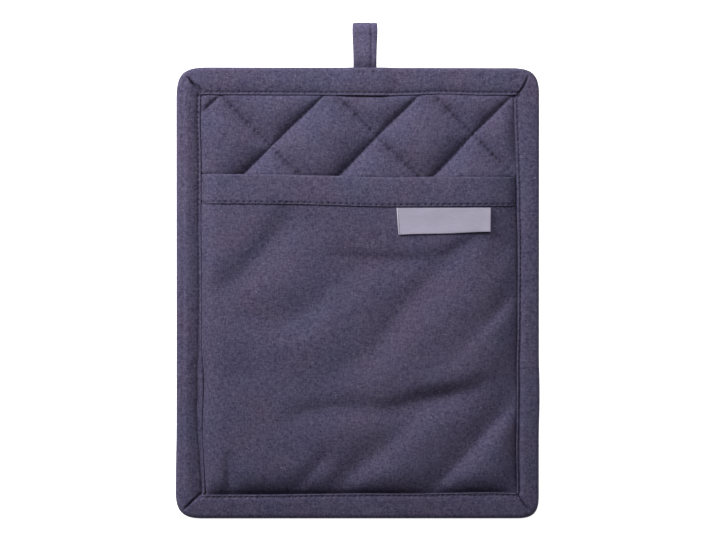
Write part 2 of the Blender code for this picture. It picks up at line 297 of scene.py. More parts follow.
# One material's nodes round its Principled shader
class Nodes:
    def __init__(self, name):
        self.material = bpy.data.materials.new(name)
        self.material.use_nodes = True
        self.tree = self.material.node_tree
        self.shader = self.tree.nodes["Principled BSDF"]
        self.place = self.add("TexCoord").outputs["Object"]

    # Links a socket, or sets a plain value
    def put(self, node, key, value):
        if isinstance(value, bpy.types.NodeSocket):
            self.tree.links.new(value, node.inputs[key])
        else:
            node.inputs[key].default_value = value

    def add(self, kind, inputs=None, **settings):
        node = self.tree.nodes.new("ShaderNode" + kind)
        for key, value in settings.items():
            setattr(node, key, value)
        for key, value in (inputs or {}).items():
            self.put(node, key, value)
        return node

    def math(self, operation, a, b=0.0):
        return self.add("Math", {0: a, 1: b}, operation=operation).outputs[0]

    # Adds up values, each times its weight
    def weighted(self, *terms, start=0.0):
        total = start
        for value, weight in terms:
            total = self.math("ADD", total, self.math("MULTIPLY", value, weight))
        return total

    # Fine waves, so many threads to the metre
    def waves(self, value, threads):
        return self.math("SINE", self.math("MULTIPLY", value, math.pi * threads))

    def mix(self, share, a, b, blend="MIX"):
        return self.add("Mix", {0: share, 6: a, 7: b}, data_type="RGBA", blend_type=blend).outputs[2]

    # A colour times a grey level, or with one added
    def shaded(self, colour, level, blend="MULTIPLY"):
        grey = self.add("CombineColor", {0: level, 1: level, 2: level}).outputs[0]
        return self.mix(1.0, colour, grey, blend)

    def turned(self, degrees):
        turn = (0, 0, math.radians(degrees))
        return self.add("Mapping", {"Vector": self.place, "Rotation": turn}).outputs[0]

    # Noise with so many hills to the metre along x, y and z
    def noise(self, vector, x, y, z, detail, rough=0.5):
        at = self.add("Mapping", {"Vector": vector, "Scale": (x, y, z)}).outputs[0]
        settings = {"Vector": at, "Scale": 1.0, "Detail": detail, "Roughness": rough}
        return self.add("TexNoise", settings).outputs[0]

    def ramp(self, value, low, high, atLow, atHigh):
        return self.add("MapRange", {0: value, 1: low, 2: high, 3: atLow, 4: atHigh}).outputs[0]

    # The finished cloth; its bump is a strength and a depth in metres
    def finished(self, colour, relief, look):
        strength, depth = look["bump"]
        bump = self.add("Bump", {"Height": relief, "Strength": strength, "Distance": depth}).outputs[0]
        self.put(self.shader, "Base Color", colour)
        self.put(self.shader, "Normal", bump)
        self.put(self.shader, "Roughness", look["roughness"])
        self.put(self.shader, "Specular IOR Level", look["shine"])
        return self.material


cottonLook = {
    "cool": (0.0472, 0.0434, 0.0788, 1),
    "warm": (0.0560, 0.0446, 0.0772, 1),
    "warmShare": 0.7,
    "fleck": (0.170, 0.155, 0.215, 1),
    "fleckShare": 0.6,
    "threadsPerMetre": 1450,
    # part of the unevenness scales the dye's colour, and part adds grey
    "dyeUnevenness": 0.43,
    "greyUnevenness": 0.026,
    "roughness": 0.88,
    "shine": 0.08,
    "bump": (0.4, 0.00012),
}


# Plain-woven cotton: threads both ways, thick and thin, with pale flecks
def cottonMaterial(name, look, tone=1.0, turn=0.0):
    n = Nodes(name)
    turned = n.turned(turn)
    weft = n.noise(turned, 450, 1150, 600, 1.0, 0.6)
    warp = n.noise(turned, 1150, 450, 600, 1.0, 0.6)
    threads = n.math("ADD", n.math("ADD", weft, warp), -1.0)
    split = n.add("SeparateXYZ", {0: turned})
    weave = n.math("MULTIPLY", *[n.waves(split.outputs[k], look["threadsPerMetre"]) for k in (0, 1)])
    grain = n.noise(turned, 950, 950, 950, 1.5, 0.6)
    patches = n.noise(turned, 45, 45, 45, 1.0, 0.6)
    broad = n.noise(turned, 14, 14, 14, 1.0, 0.6)
    flecks = n.noise(turned, 900, 900, 900, 1.0)

    cool, warm = [tuple(c * tone for c in look[dye][:3]) + (1,) for dye in ("cool", "warm")]
    colour = n.mix(n.ramp(patches, 0.38, 0.66, 0.0, look["warmShare"]), cool, warm)
    grainAway, broadAway = [n.math("SUBTRACT", value, 0.5) for value in (grain, broad)]
    uneven = n.weighted((threads, 1.15), (grainAway, 0.9), (weave, 0.05), (broadAway, 0.25))
    colour = n.shaded(colour, n.weighted((uneven, look["dyeUnevenness"]), start=1.0))
    colour = n.shaded(colour, n.math("MULTIPLY", uneven, look["greyUnevenness"]), "ADD")
    colour = n.mix(n.ramp(flecks, 0.70, 0.78, 0.0, look["fleckShare"]), colour, look["fleck"])
    return n.finished(colour, n.weighted((weave, 0.4), (threads, 1.3), (grain, 0.7)), look)


threadLook = {
    "colour": (0.050, 0.045, 0.078, 1),
    "roughness": 0.6,
    "shine": 0.15,
    "bump": (0.3, 0.0001),
}


# Sewing thread: a twisted strand, a little shinier than the cloth
def threadMaterial(name, look):
    n = Nodes(name)
    fibres = n.noise(n.place, 2400, 2400, 2400, 2.0)
    return n.finished(n.shaded(look["colour"], n.weighted((fibres, 0.7), start=0.65)), fibres, look)


ribbonLook = {
    "colour": (0.268, 0.246, 0.320, 1),
    # paler colour at the left end: a painted highlight on the turned-under end, then its width and share
    "edge": (0.45, 0.43, 0.50, 1),
    "highlightWidth": 0.9,
    "highlightShare": 0.8,
    "turn": 0.8,
    "ribsPerMetre": 3300,
    "roughness": 0.5,
    "shine": 0.25,
    "bump": (0.35, 0.0001),
}


# Woven ribbon: fine ribs along its length, and a paler strip at its left end that is a painted highlight,
# where the turned-under end catches the light
def ribbonMaterial(name, look, leftEnd):
    n = Nodes(name)
    turned = n.turned(look["turn"])
    split = n.add("SeparateXYZ", {0: turned})
    ribs = n.waves(split.outputs[1], look["ribsPerMetre"])
    strands = n.noise(turned, 300, 3500, 800, 2.0)
    cloudy = n.noise(n.place, 90, 90, 90, 1.0)
    level = n.weighted((ribs, 0.05), (strands, 0.34), (cloudy, 0.14), start=0.76)
    ends = leftEnd * mm, (leftEnd + look["highlightWidth"]) * mm
    # painted highlight: the turned-under left end is coloured paler, as if lit
    paintedEndHighlight = n.ramp(split.outputs[0], *ends, look["highlightShare"], 0.0)
    colour = n.mix(paintedEndHighlight, n.shaded(look["colour"], level), look["edge"])
    return n.finished(colour, n.weighted((ribs, 0.5), (strands, 1.0)), look)


cotton = cottonMaterial("quiltedCotton", cottonLook, 1.07)
bindingCotton = cottonMaterial("bindingCotton", cottonLook, 1.03, 3)
loopCotton = cottonMaterial("loopCotton", cottonLook, 1.38, -2)
thread = threadMaterial("sewingThread", threadLook)
print("materials made")


padLook = {
    "tuck": 7.0,  # how far it goes in under the binding
    "seamTop": 4.1,
    "crown": 8.9,
    "fullness": 2.6,
    "unevenness": 0.22,
    "sway": 1.1,
    # creases along the rising and the falling seams: depth, width and puckers
    "creases": ((1.4, 1.2, 0.22), (1.0, 0.7, 0.34)),
    "besideCrease": 0.35,  # of that depth the cloth beside it rises
    "puckerPitch": 3.1,
    "puckerReach": 3.2,
    "pit": 0.4,
    "pitRadius": 0.7,
    # along the top, right, bottom and left sides
    "borderReach": (22.0, 15.0, 13.0, 16.0),
    "borderTop": (6.5, 4.4, 5.0, 6.3),
    "rolls": (0.8, 0.8, 0.8, 1.5),
    "borderFullness": 2.2,
    "tuckedTop": 4.95,
    "tuckedRise": 1.1,
    "cornerCut": 1.6,
    # under the pocket it is pressed this much lower, and stays clear of the cloth
    "pressed": 0.5,
    "clearance": 0.2,
    "coveredBorder": 3.1,
    "coveredReach": 9,
    # the underside
    "borderBottom": 1.3,
    "bottomReach": 11,
    "grooveDepth": 1.1,
    "grooveHalfWidth": 3.6,
    # room for the loop's feet under its upper end: how high, how far to each side, from where on
    "footRoom": 2.8,
    "footSides": (13, 23),
    "footRows": (97, 109),
}

quiltStitch = {
    "pitch": 3.0, "uneven": 0.15, "slant": 0.05, "radius": 0.18, "lift": 0.05, "dive": 0.4, "seed": 200,
}


pocketLook = {
    "tuck": 6.6,
    "cloth": 1.0,
    "mouth": ((-93, 65.5), (-60, 65.3), (-35, 65.1), (0, 64.0), (14, 63.6), (50, 63.8), (95, 64.1)),
    "mouthHeight": 64.6,  # on average
    "mouthSway": 0.18,
    "mouthThinning": 0.35,
    "hemDepth": 16.5,
    "hemThickness": 0.8,
    "hemUnevenness": 0.10,
    "hemPuckers": 0.10,
    "hemEnds": (-85.5, 87.3),
    "hemStitch": 1.15,  # above the hem's lower edge
    "stitchPull": 0.18,
    "stitchHole": 0.7,
    "endPress": 0.35,
    "base": 9.5,
    # along the right, bottom and left sides
    "borderTop": (3.0, 3.6, 5.5),
    "borderReach": (26, 17, 13),
    "edgeRoll": (0.5, 0.5, 1.0),
    "rollReach": 1.3,
    "fullness": 2.4,
    "hills": 0.16,
    "seamShadow": 0.2,  # the falling seams show through a little
    # creases, each in foldDepth's order and from its upper or right end; a depth below 0 is a swelling
    "folds": (
        (8, 12, 1.8, (-30, 52, 0), (-40, 38, 2.3), (-52, 23, 2.8), (-65, 9, 2.5), (-79, 1, 2.1),
         (-92, -3, 0)),
        (4, 9, 1.8, (72, 35, 0), (60, 27, 1.3), (47, 20, 1.0), (30, 18, 1.4), (12, 18, 1.6),
         (-12, 20, 0.9), (-26, 22, 0)),
        (8, 10, 1.8, (62, 30, 0), (51, 18, 1.5), (38, 5, 1.9), (25, -9, 2.0), (10, -30, 1.6),
         (-6, -41, 1.3), (-36, -60, 0)),
        (11, 9, 1.8, (14, 20, 0), (0, 11, 1.0), (-16, 1, 1.4), (-30, -11, 2.2), (-48, -15, 1.8),
         (-66, -13, 1.0), (-80, -11, 0)),
        (9, 4.5, 1.6, (104, 13, 0), (90, 1, 3.2), (80, -8, 3.4), (71, -17, 1.9), (58, -30, 0.6),
         (46, -42, 0)),
        (6, 8, 1.9, (104, -20, 0), (90, -33, 0.3), (78, -45, 0.6), (64, -53, 1.9), (50, -57, 3.1),
         (34, -60, 2.8), (16, -64, 2.3), (-6, -63, 1.9), (-27, -66, 1.6), (-48, -75, 0)),
        (10, 7, 1.8, (58, -46, 0), (43, -60, 0.6), (27, -73, 1.7), (11, -88, 2.7), (-5, -101, 3.3),
         (-18, -116, 0)),
        (11, 6.5, 1.5, (104, -47, 0), (92, -59, 3.8), (79, -68, 3.9), (66, -82, 3.8), (53, -96, 3.8),
         (40, -111, 3.3), (30, -122, 0)),
        (20, 6, 2, (104, -46, 0), (92, -56, 2.6), (79, -66, 2.6), (68, -78, 1.1), (58, -90, 0)),
        (5, 5, 1.8, (-12, -82, 0), (-20, -93, 1.3), (-30, -104, 1.5), (-38, -115, 0)),
        (3.5, 5, 1.5, (-71, -86, 0), (-71, -97, 1.8), (-70, -106, 2.4), (-70, -118, 0)),
        (6, 8, 1.9, (-42, -46, 0), (-58, -45, 0.4), (-75, -44, 0.4), (-92, -43, 0)),
        (11, 7, 1.8, (104, 42, 0), (92, 33, 1.3), (80, 22, 2.0), (68, 9, 0.7), (57, -4, 0)),
        (10, 12, 1.6, (70, 12, 0), (54, -6, -0.6), (36, -24, -0.8), (16, -44, -0.8), (0, -54, 0)),
        (9, 10, 1.7, (22, 14, 0), (4, -2, -0.6), (-14, -18, -0.6), (-34, -28, -0.7), (-56, -34, 0)),
        (8, 6, 1.8, (72, -36, 0), (56, -46, -0.8), (40, -49, -0.8), (20, -53, 0)),
        (22, 22, 2, (78, 54, 0), (40, 56, -1.5), (-32, 56, -1.5), (-70, 54, 0)),
    ),
}

hemStitch = {
    "pitch": 3.35, "uneven": 0.2, "slant": 0.06, "radius": 0.17, "lift": 0.02, "dive": 0.32, "seed": 90,
}


def mouthLine(x):
    return fromTable(pocketLook["mouth"], x, 8.0)


# Places across the rising and the falling seams, with the seams' small sway
def quiltPlaces(x, y):
    sway = padLook["sway"]
    return x - y + sway * hills(x, y, 34, 3), x + y + sway * hills(x, y, 31, 4)


def fullPuff(share, fullness):
    return 1 - (1 - share) ** fullness


# Height at the rim, mixed from each side's own by how near it is
def rimHeight(distances, heights, near=8):
    weights = [fade(distance, near) for distance in distances]
    return sum(height * weight for height, weight in zip(heights, weights)) / sum(weights)


# 0 at the rim, and 1 further in than every side's reach
def rimRise(distances, reaches, fullness):
    rise = 1.0
    for distance, reach in zip(distances, reaches):
        rise = rise * fullPuff(clamp01(distance / reach), fullness)
    return rise


# Height the pad would have without the pocket on it
def openPadTop(x, y):
    look = padLook
    distances = insideDistances(x, y)
    places = quiltPlaces(x, y)
    cells = [acrossCell(*pair) for pair in zip(places, layout["seams"])]
    puff = fullPuff(cells[0], look["fullness"]) * fullPuff(cells[1], look["fullness"])
    middle = look["seamTop"] + (look["crown"] - look["seamTop"]) * puff
    middle = middle + look["unevenness"] * hills(x, y, 12, 5) * puff
    border = rimHeight(distances, look["borderTop"])
    height = border + (middle - border) * rimRise(distances, look["borderReach"], look["borderFullness"])
    for way, (depth, width, pucker) in enumerate(look["creases"]):
        away, along = fromSeam(places[way], layout["seams"][way]), places[1 - way]
        height = height + depth * (look["besideCrease"] - np.exp(-away / width))
        # puckers run square to the seam; the needle's holes lie in it
        gather = hills(along, 0 * along, look["puckerPitch"], 6 + way) * bell(away, look["puckerReach"])
        hole = np.abs((along / math.sqrt(2)) % quiltStitch["pitch"] - quiltStitch["pitch"] / 2)
        pit = look["pit"] * bell(hole, look["pitRadius"]) * bell(away, look["pitRadius"])
        height = height + pucker * gather - pit
    tucked = 1.0
    for distance, roll in zip(distances, look["rolls"]):
        tucked = tucked * (1 - fade(distance, roll))
    top, right, _, left = distances
    raised = look["tuckedRise"] * fade(top, 6)
    low = look["tuckedTop"] + raised * smoothStep(np.minimum(left, right), 0, 4)
    return low + (height - low) * tucked


# Under the pocket the pad is pressed down to it
def padTop(x, y):
    look, openTop = padLook, openPadTop(x, y)
    pressed = np.minimum(openTop - look["pressed"], pocketUnderside(x, y) - look["clearance"])
    inside = np.minimum.reduce(insideDistances(x, y)[1:])
    edge = look["coveredBorder"]
    pressed = edge + (pressed - edge) * fullPuff(clamp01(inside / look["coveredReach"]), 2.0)
    covered = 1 - smoothStep(y - mouthLine(x), -2, 1.5)
    return openTop * (1 - covered) + pressed * covered


def padBottom(x, y):
    look = padLook
    away = np.minimum(*[fromSeam(*pair) for pair in zip(quiltPlaces(x, y), layout["seams"])])
    groove = look["grooveDepth"] * (1 - smoothStep(away, 0, look["grooveHalfWidth"]))
    footRoom = look["footRoom"] * (1 - smoothStep(np.abs(x - layout["loopMiddle"]), *look["footSides"]))
    footRoom = footRoom * smoothStep(y, *look["footRows"])
    border = look["borderBottom"]
    inside = np.minimum.reduce(insideDistances(x, y))
    return border + footRoom + (groove - border - footRoom) * smoothStep(inside, 0, look["bottomReach"])


def spread(low, high, step):
    return np.linspace(low, high, max(int(round(abs(high - low) / step)), 1) + 1)


# Left, right, upper and lower end of a cloth that is tucked in under the binding
def tuckedEnds(tuck):
    (ax, ay), (bx, by), (cx, cy), (dx, dy) = layout["inner"]
    return min(ax, dx) - tuck, max(bx, cx) + tuck, max(ay, by) + tuck, min(cy, dy) - tuck


# Rows and columns over the pad, its tucked corners cut round
def padGrid(columns, rows):
    x, y = np.meshgrid(columns, rows)
    for cornerX, cornerY in layout["inner"]:
        beyond = (x - cornerX) * np.sign(cornerX), (y - cornerY) * np.sign(cornerY)
        pull = clamp01(np.minimum(*beyond) / padLook["tuck"]) * padLook["cornerCut"]
        x, y = x - pull * np.sign(cornerX), y - pull * np.sign(cornerY)
    return x, y


def makePad():
    left, right, high, low = tuckedEnds(padLook["tuck"])
    # rows lie close where the pad is open, and wide apart under the pocket
    x, y = padGrid(spread(left, right, 0.5), np.concatenate([spread(high, 62, 0.5), spread(61, low, 3.0)]))
    underX, underY = padGrid(spread(left, right, 1.5), spread(high, low, 1.5))
    pad = closedSheet("quiltedPad", (x, y, padTop(x, y)), (underX, underY, padBottom(underX, underY)), cotton)
    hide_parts("quilted_pad")
    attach(pad, "root")
    return pad


def pocketUnderside(x, y):
    look = pocketLook
    sides = insideDistances(x, y)[1:]
    middle = np.full(np.shape(x), look["base"])
    for fold in look["folds"]:
        middle = middle - foldDepth(x, y, fold)
    soft = fullPuff(acrossCell(quiltPlaces(x, y)[1], layout["seams"][1]), 1.8)
    middle = middle - look["seamShadow"] * (1 - soft)
    middle += look["hills"] * (hills(x, y, 17, 11) + 0.5 * hills(x, y, 8, 12))
    roll = 0.0
    for distance, drop in zip(sides, look["edgeRoll"]):
        roll = np.maximum(roll, drop * fade(distance, look["rollReach"]))
    edge = rimHeight(sides, look["borderTop"])
    return edge + (middle - edge) * rimRise(sides, look["borderReach"], look["fullness"]) - roll


# Upper and lower side of the pocket; w is the distance down from its mouth
def pocketLayers(x, y, w):
    look = pocketLook
    cloth, hem, depth = look["cloth"], look["hemThickness"], look["hemDepth"]
    whole = cloth + hem
    _, right, _, left = insideDistances(x, y)
    fromEnds = np.minimum(left, right)
    inHem = clamp01((depth - w) / 0.55)
    hemTop = hem * np.sqrt(np.maximum(1 - (1 - inHem) ** 2, 0)) * (w < depth)
    hemTop = hemTop + look["hemUnevenness"] * hills(x, y, 6, 15) * smoothStep(depth - w, 0.3, 2.0)
    hemTop = hemTop - look["mouthThinning"] * fade(w, 3.5)
    # its ends are pressed thin in the binding's seam
    hemTop = hemTop * smoothStep(fromEnds, -0.5, 3.5)
    pressed = look["endPress"] * (w < depth + 1) * bell(np.maximum(fromEnds, 0), 2.2)
    lower = pocketUnderside(x, y) - pressed
    turn = clamp01(w / (whole * 0.62))
    rounding = (1 - np.sqrt(np.maximum(1 - (1 - turn) ** 2, 0))) * whole * 0.5
    # the needle pulls the hem down along its stitching, most of all at its holes
    begin, end = look["hemEnds"]
    holes = dimples(x - begin, needleHoles(end - begin, hemStitch), 0.6)
    pull = (look["stitchPull"] + look["stitchHole"] * holes) * bell(w - depth + look["hemStitch"], 0.5)
    puckers = look["hemPuckers"] * hills(x, 0 * x, 2.8, 16) * bell(w - depth + 0.8, 2.2)
    return lower + cloth + hemTop - rounding - pull + puckers, lower + rounding


def pocketTop(x, y):
    return pocketUnderside(x, y) + pocketLook["cloth"]


# The line that the hem is sewn along
def hemSeam():
    look = pocketLook
    x = np.linspace(*look["hemEnds"], 400)
    y = mouthLine(x) - look["hemDepth"] + look["hemStitch"]
    return np.stack([x, y, pocketTop(x, y) + look["hemThickness"] - look["stitchPull"]], -1)


def makePocket():
    look = pocketLook
    depth, mouth = look["hemDepth"], look["mouthHeight"]
    left, right, _, low = tuckedEnds(look["tuck"])
    # distances down from the mouth: close together in its turn and at the hem's lower edge
    turn = [0, 0.05, 0.18, 0.4, 0.7, 1.05, 1.6, 2.3, 3.2]
    edge = [-2.6, -2.0, -1.65, -1.4, -1.15, -0.9, -0.65, -0.42, -0.24]
    edge += [-0.1, -0.02, 0.05, 0.25, 0.6, 1.1, 1.8, 2.6, 3.4]
    hemRows = [turn, spread(4.1, depth - 3.4, 0.9), np.array(edge) + depth]
    upperRows = np.concatenate([*hemRows, spread(depth + 4.3, mouth - low, 1.0)])
    lowerRows = np.concatenate([turn, spread(4.4, mouth - low, 1.5)])
    grids = []
    # rows follow the mouth near it, and straighten lower down; the underside is coarser
    for step, rows in ((0.55, upperRows), (1.5, lowerRows)):
        x, w = np.meshgrid(spread(left, right, step), rows)
        follow = 1 - smoothStep(w, depth + 6, depth + 60)
        y = mouth - w + (mouthLine(x) - mouth) * follow
        y += look["mouthSway"] * hills(x, 0 * x, 21, 14) * (1 - smoothStep(w, 2, 12))
        grids.append((x, y, pocketLayers(x, y, w)[len(grids)]))
    pocket = closedSheet("pocketCloth", *grids, cotton)
    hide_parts("pocket")
    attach(pocket, "root")
    # 174 mm across and about 7 mm tucked in at each side; 182 mm down from the mouth, and the hem
    return pocket


pad = makePad()
print("pad:", len(pad.data.polygons), "faces")
pocket = makePocket()
print("pocket:", len(pocket.data.polygons), "faces")


bindingLook = {
    "cloth": 0.9,
    "top": 7.6,
    "innerArch": 1.8,
    "outerArch": 1.7,
    "lipThickness": 0.6,
    "holeWidth": 0.65,
    "pitWidth": 0.45,
    "underGroove": 0.22,
    "underHole": 0.25,
    # Sections clockwise along each side, as rows of: share of the way along, needle's distance from the
    # inner edge, height there, fall towards the rim, depth of needle holes, depth and width of the stitched
    # groove, roundness of the rim, place of the crown, rise of the lip towards the inner edge
    "top side": (
        (0, 1.5, 6.8, 0.8, 0.4, 0.15, 0.6, 2.8, 0.5, 0.15),
        (1, 1.5, 6.7, 0.4, 0.4, 0.2, 0.6, 2.6, 0.5, 0.15),
    ),
    "right side": (
        (0, 1.6, 6.3, 0.0, 0.4, 0.7, 0.42, 1.7, 0.6, -0.35),
        (0.25, 1.9, 6.4, 0.2, 0.4, 0.8, 0.42, 1.8, 0.6, -0.4),
        (0.5, 1.6, 6.3, 0.4, 0.4, 0.95, 0.45, 1.9, 0.5, -0.3),
        (0.75, 1.5, 6.2, 0.6, 0.4, 1.2, 0.5, 2.0, 0.4, -0.1),
    ),
    "bottom side": (
        (0, 1.4, 7.2, 0.3, 0.5, 0.1, 0.6, 2.6, 0.4, 0.1),
        (1, 1.5, 7.4, 0.4, 0.5, 0.12, 0.6, 2.6, 0.4, 0.1),
    ),
    "left side": (
        (0, 1.8, 5.4, 0.8, 0.55, 0.45, 0.7, 3.8, 0.8, 0.3),
        (0.15, 1.9, 5.4, 0.9, 0.6, 0.45, 0.7, 3.8, 0.8, 0.35),
        (0.22, 2.8, 5.4, 0.9, 0.6, 0.4, 0.8, 3.8, 0.8, 0.4),
        (0.31, 2.7, 5.4, 0.9, 0.6, 0.4, 0.8, 3.8, 0.8, 0.4),
        (0.36, 1.6, 5.6, 1.6, 0.55, 0.25, 0.6, 4.0, 0.8, 0.25),
        (0.5, 1.5, 5.7, 1.2, 0.5, 0.25, 0.6, 4.0, 0.8, 0.2),
        (1, 1.5, 5.7, 1.0, 0.5, 0.25, 0.6, 4.0, 0.8, 0.2),
    ),
    # the four mitres and a small pleat, each from its outer end and in foldDepth's order
    "creases": (
        (0.75, 0.5, 1.4, (-92.8, 118.3, 1.5), (-91.0, 115.9, 3.6), (-88.4, 113.4, 3.8), (-85.9, 111.5, 3.0)),
        (0.5, 0.5, 1.8, (93.6, 118.7, 0.6), (92.6, 116.2, 1.8), (91.4, 113.5, 2.0), (88.5, 109.6, 1.4)),
        (0.4, 0.4, 1.4, (94.4, -119.7, 0.4), (92.2, -117.0, 1.6), (90.4, -114.2, 1.8), (88.7, -111.9, 1.4)),
        (0.55, 0.55, 1.8, (-95.2, -119.2, 0.4), (-93.0, -116.7, 2.0), (-90.0, -113.8, 2.0),
         (-86.5, -110.8, 1.4)),
        (0.55, 0.55, 1.4, (71.6, -114.6, 0.0), (73.2, -113.6, 0.7), (74.8, -112.4, 0.0)),
    ),
    # three needle marks of the tack that holds the loop
    "tackMarks": ((1.4, 121.3), (3.6, 121.1), (9.1, 121.6)),
    "tackDepth": 1.5,
    "puckers": 0.14,
    "hills": 0.13,
    "step": 0.66,
    "cornerStations": 57,
    # over the loop's feet
    "loopBulge": 1.3,
    "loopLift": 2.6,
    "loopSides": (8, 18),
}

bindingStitch = {
    "pitch": 3.0, "uneven": 0.2, "slant": 0.05, "radius": 0.2, "lift": 0.05, "dive": 0.5, "seed": 50,
}
sideNames = ("top", "right", "bottom", "left")
outOfSide = np.array([(0, 1), (1, 0), (0, -1), (-1, 0)])


# Numbers of one side's section at a share of the way along it
def sectionAt(side, share):
    rows = np.array(bindingLook[sideNames[side % 4] + " side"], float)
    return np.array([np.interp(share, rows[:, 0], column) for column in rows[:, 1:].T])


# Stations round the binding: inner point, outer point and the section's numbers
def bindingStations():
    stations = []
    inner, outer = np.array(layout["inner"]), np.array(layout["outer"])
    small = layout["innerRadius"]
    centres = inner - np.sign(inner) * small
    # the outer corners are soft curves that start some way along the sides
    starts, ends = [], []
    for k, (reach, square) in enumerate(layout["corners"]):
        corner, before, after = outer[k], -outOfSide[k], -outOfSide[k - 1]
        starts.append([corner + before * reach, corner + before * reach * (1 - square)])
        ends.append([corner + after * reach * (1 - square), corner + after * reach])
    for k in range(4):
        # they crowd together at the mitre
        for t in np.linspace(-1, 1, bindingLook["cornerStations"]):
            share = 0.5 + 0.5 * math.copysign(abs(t) ** 1.4, t)
            turn = math.radians(180 - 90 * (k + share))
            out = np.array([math.cos(turn), math.sin(turn)])
            numbers = sectionAt(k - 1, 1) * (1 - share) + sectionAt(k, 0) * share
            (p, q), (r, s) = starts[k], ends[k]
            u = 1 - share
            corner = p * u**3 + q * 3 * u * u * share + r * 3 * u * share**2 + s * share**3
            stations.append((centres[k] + out * small, corner, numbers))
        following = (k + 1) % 4
        begin, end = [centres[at] + outOfSide[k] * small for at in (k, following)]
        outerBegin, outerEnd = ends[k][1], starts[following][0]
        count = int(np.linalg.norm(end - begin) / bindingLook["step"])
        for t in np.linspace(0, 1, count + 1)[1:-1]:
            place = begin + (end - begin) * t
            edge = outerBegin + (outerEnd - outerBegin) * t
            if k in (1, 3):
                edge = edge + [fromTable(layout["drawnRight" if k == 1 else "drawnLeft"], edge[1]), 0]
            stations.append((place, edge, sectionAt(k, t)))
    return stations


# An inner-edge point moved to where that side's edge strays
def strayed(point):
    distances = insideDistances(*point)
    nearest = np.argmin(np.abs(distances))
    away = distances[nearest]
    return point + outOfSide[nearest] * away if abs(away) < 2.5 else point


# Top of the binding at a distance out from its inner edge
def bindingTopHeight(u, reach, numbers, hole):
    look = bindingLook
    inset, edgeTop, fall, holeDepth, depth, width, rim, crownAt, tilt = numbers
    crown, nose = crownAt * (reach - rim), reach - rim
    inward = clamp01((crown - np.maximum(u, inset)) / (crown - inset))
    outward = clamp01((u - crown) / (nose - crown))
    arch = look["top"] - (look["top"] - edgeTop) * inward ** look["innerArch"]
    arch = arch - fall * outward ** look["outerArch"]
    lip = tilt * np.maximum(inset - u, 0)
    return arch + lip - depth * bell(u - inset, width) - holeDepth * hole * bell(u - inset, look["pitWidth"])


# 1 where the strip passes over the loop's feet
def overLoop(point):
    away = abs(point[0] - layout["loopMiddle"])
    return 1 - smoothStep(away, *bindingLook["loopSides"]) if point[1] > 0 else 0.0


# One closed section of the strip: distances out from the inner edge, heights, and how far each point
# follows the puckers and creases of the upper side
def bindingSection(reach, numbers, hole, over):
    look = bindingLook
    inset, rim, cloth = numbers[0], numbers[6], look["cloth"]
    nose = reach - rim
    low, bulge = look["loopLift"] * over, look["loopBulge"] * over
    besideSeam = inset + np.array([-1.0, -0.65, -0.4, -0.2, 0, 0.2, 0.4, 0.65, 1.0, 1.5])
    topU = np.concatenate([[0.0, 0.07, 0.22, 0.45], besideSeam, np.linspace(inset + 2.2, nose, 10)])
    topZ = bindingTopHeight(topU, reach, numbers, hole) + bulge
    topZ[:3] = topZ[3] - np.array([1.0, 0.45, 0.14]) * look["lipThickness"]
    middle, half = (topZ[-1] + low) / 2, (topZ[-1] - low) / 2
    turns = np.radians(np.linspace(90, -90, 13)[1:-1])
    noseU, noseZ = nose + rim * np.cos(turns), middle + half * np.sin(turns)
    besideSeam = inset + np.array([0.8, 0.4, 0.0, -0.4, -0.8])
    underU = np.concatenate([np.linspace(nose, inset + 1.6, 5), besideSeam, [0.4, 0.15, 0.0]])
    underZ = low + (look["underGroove"] + look["underHole"] * hole) * bell(underU - inset, 0.6)
    underZ[-2:] = low + 0.1, low + 0.4
    # the strip's inner side goes round the edges of the pad and the pocket
    back = np.linspace(nose, 2, 3)
    liningU = np.concatenate([[0.0], back[::-1], [reach - cloth], back, [0.0]])
    liningTop = bindingTopHeight(back, reach, numbers, 0) + bulge - cloth
    liningZ = np.concatenate([np.full(4, low + cloth), [middle], liningTop, [topZ[3] - cloth]])
    u, z = np.concatenate([topU, noseU, underU, liningU]), np.concatenate([topZ, noseZ, underZ, liningZ])
    follows = np.zeros(len(u))
    follows[:len(topU)] = 1
    follows[len(topU):len(topU) + 6] = np.linspace(0.9, 0.1, 6)
    follows[-4:] = 1
    return u, z, follows


